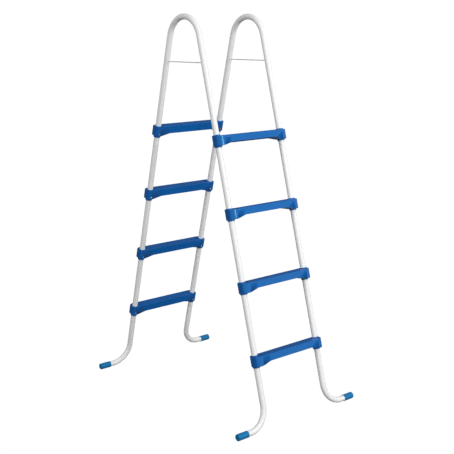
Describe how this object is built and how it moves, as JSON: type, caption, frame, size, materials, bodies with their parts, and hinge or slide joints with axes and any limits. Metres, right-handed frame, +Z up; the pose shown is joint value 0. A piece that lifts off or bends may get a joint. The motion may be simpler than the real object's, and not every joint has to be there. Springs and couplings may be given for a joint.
{
  "type": "pool ladder",
  "caption": "Free-standing A-frame ladder over an above-ground pool wall: bent white tube handrails, moulded blue treads on both sides and feet turned out sideways.",
  "frame": {"origin": "on the ground, in the middle of the four feet", "axes": "+X along the treads, +Y over the wall from the entry side to the pool side, +Z up"},
  "size_m": [0.678, 1.075, 1.7042],
  "materials": {
    "tube_white": "glossy white powder coat on steel tube",
    "rod_grey": "pale grey coated steel rod",
    "tread_blue": "injection-moulded blue polypropylene, satin with a fine moulded grain",
    "cap_blue": "softer blue moulded plastic, satin",
    "screw_steel": "stainless steel, lightly brushed"
  },
  "bodies": {
    "root": {"front_tread_1": "tread_blue", "front_tread_2": "tread_blue", "front_tread_3": "tread_blue", "front_tread_4": "tread_blue", "front_left_lower_leg": "tube_white", "front_left_upper_leg": "tube_white", "front_left_foot_cap": "cap_blue", "front_left_screw_1": "screw_steel", "front_left_screw_2": "screw_steel", "front_left_screw_3": "screw_steel", "front_left_screw_4": "screw_steel", "front_right_lower_leg": "tube_white", "front_right_upper_leg": "tube_white", "front_right_foot_cap": "cap_blue", "front_right_screw_1": "screw_steel", "front_right_screw_2": "screw_steel", "front_right_screw_3": "screw_steel", "front_right_screw_4": "screw_steel", "back_tread_1": "tread_blue", "back_tread_2": "tread_blue", "back_tread_3": "tread_blue", "back_tread_4": "tread_blue", "back_left_lower_leg": "tube_white", "back_left_upper_leg": "tube_white", "back_left_foot_cap": "cap_blue", "back_left_screw_1": "screw_steel", "back_left_screw_2": "screw_steel", "back_left_screw_3": "screw_steel", "back_left_screw_4": "screw_steel", "back_right_lower_leg": "tube_white", "back_right_upper_leg": "tube_white", "back_right_foot_cap": "cap_blue", "back_right_screw_1": "screw_steel", "back_right_screw_2": "screw_steel", "back_right_screw_3": "screw_steel", "back_right_screw_4": "screw_steel", "left_handrail_hoop": "tube_white", "left_spreader_rod": "rod_grey", "right_handrail_hoop": "tube_white", "right_spreader_rod": "rod_grey"}
  },
  "joints": []
}
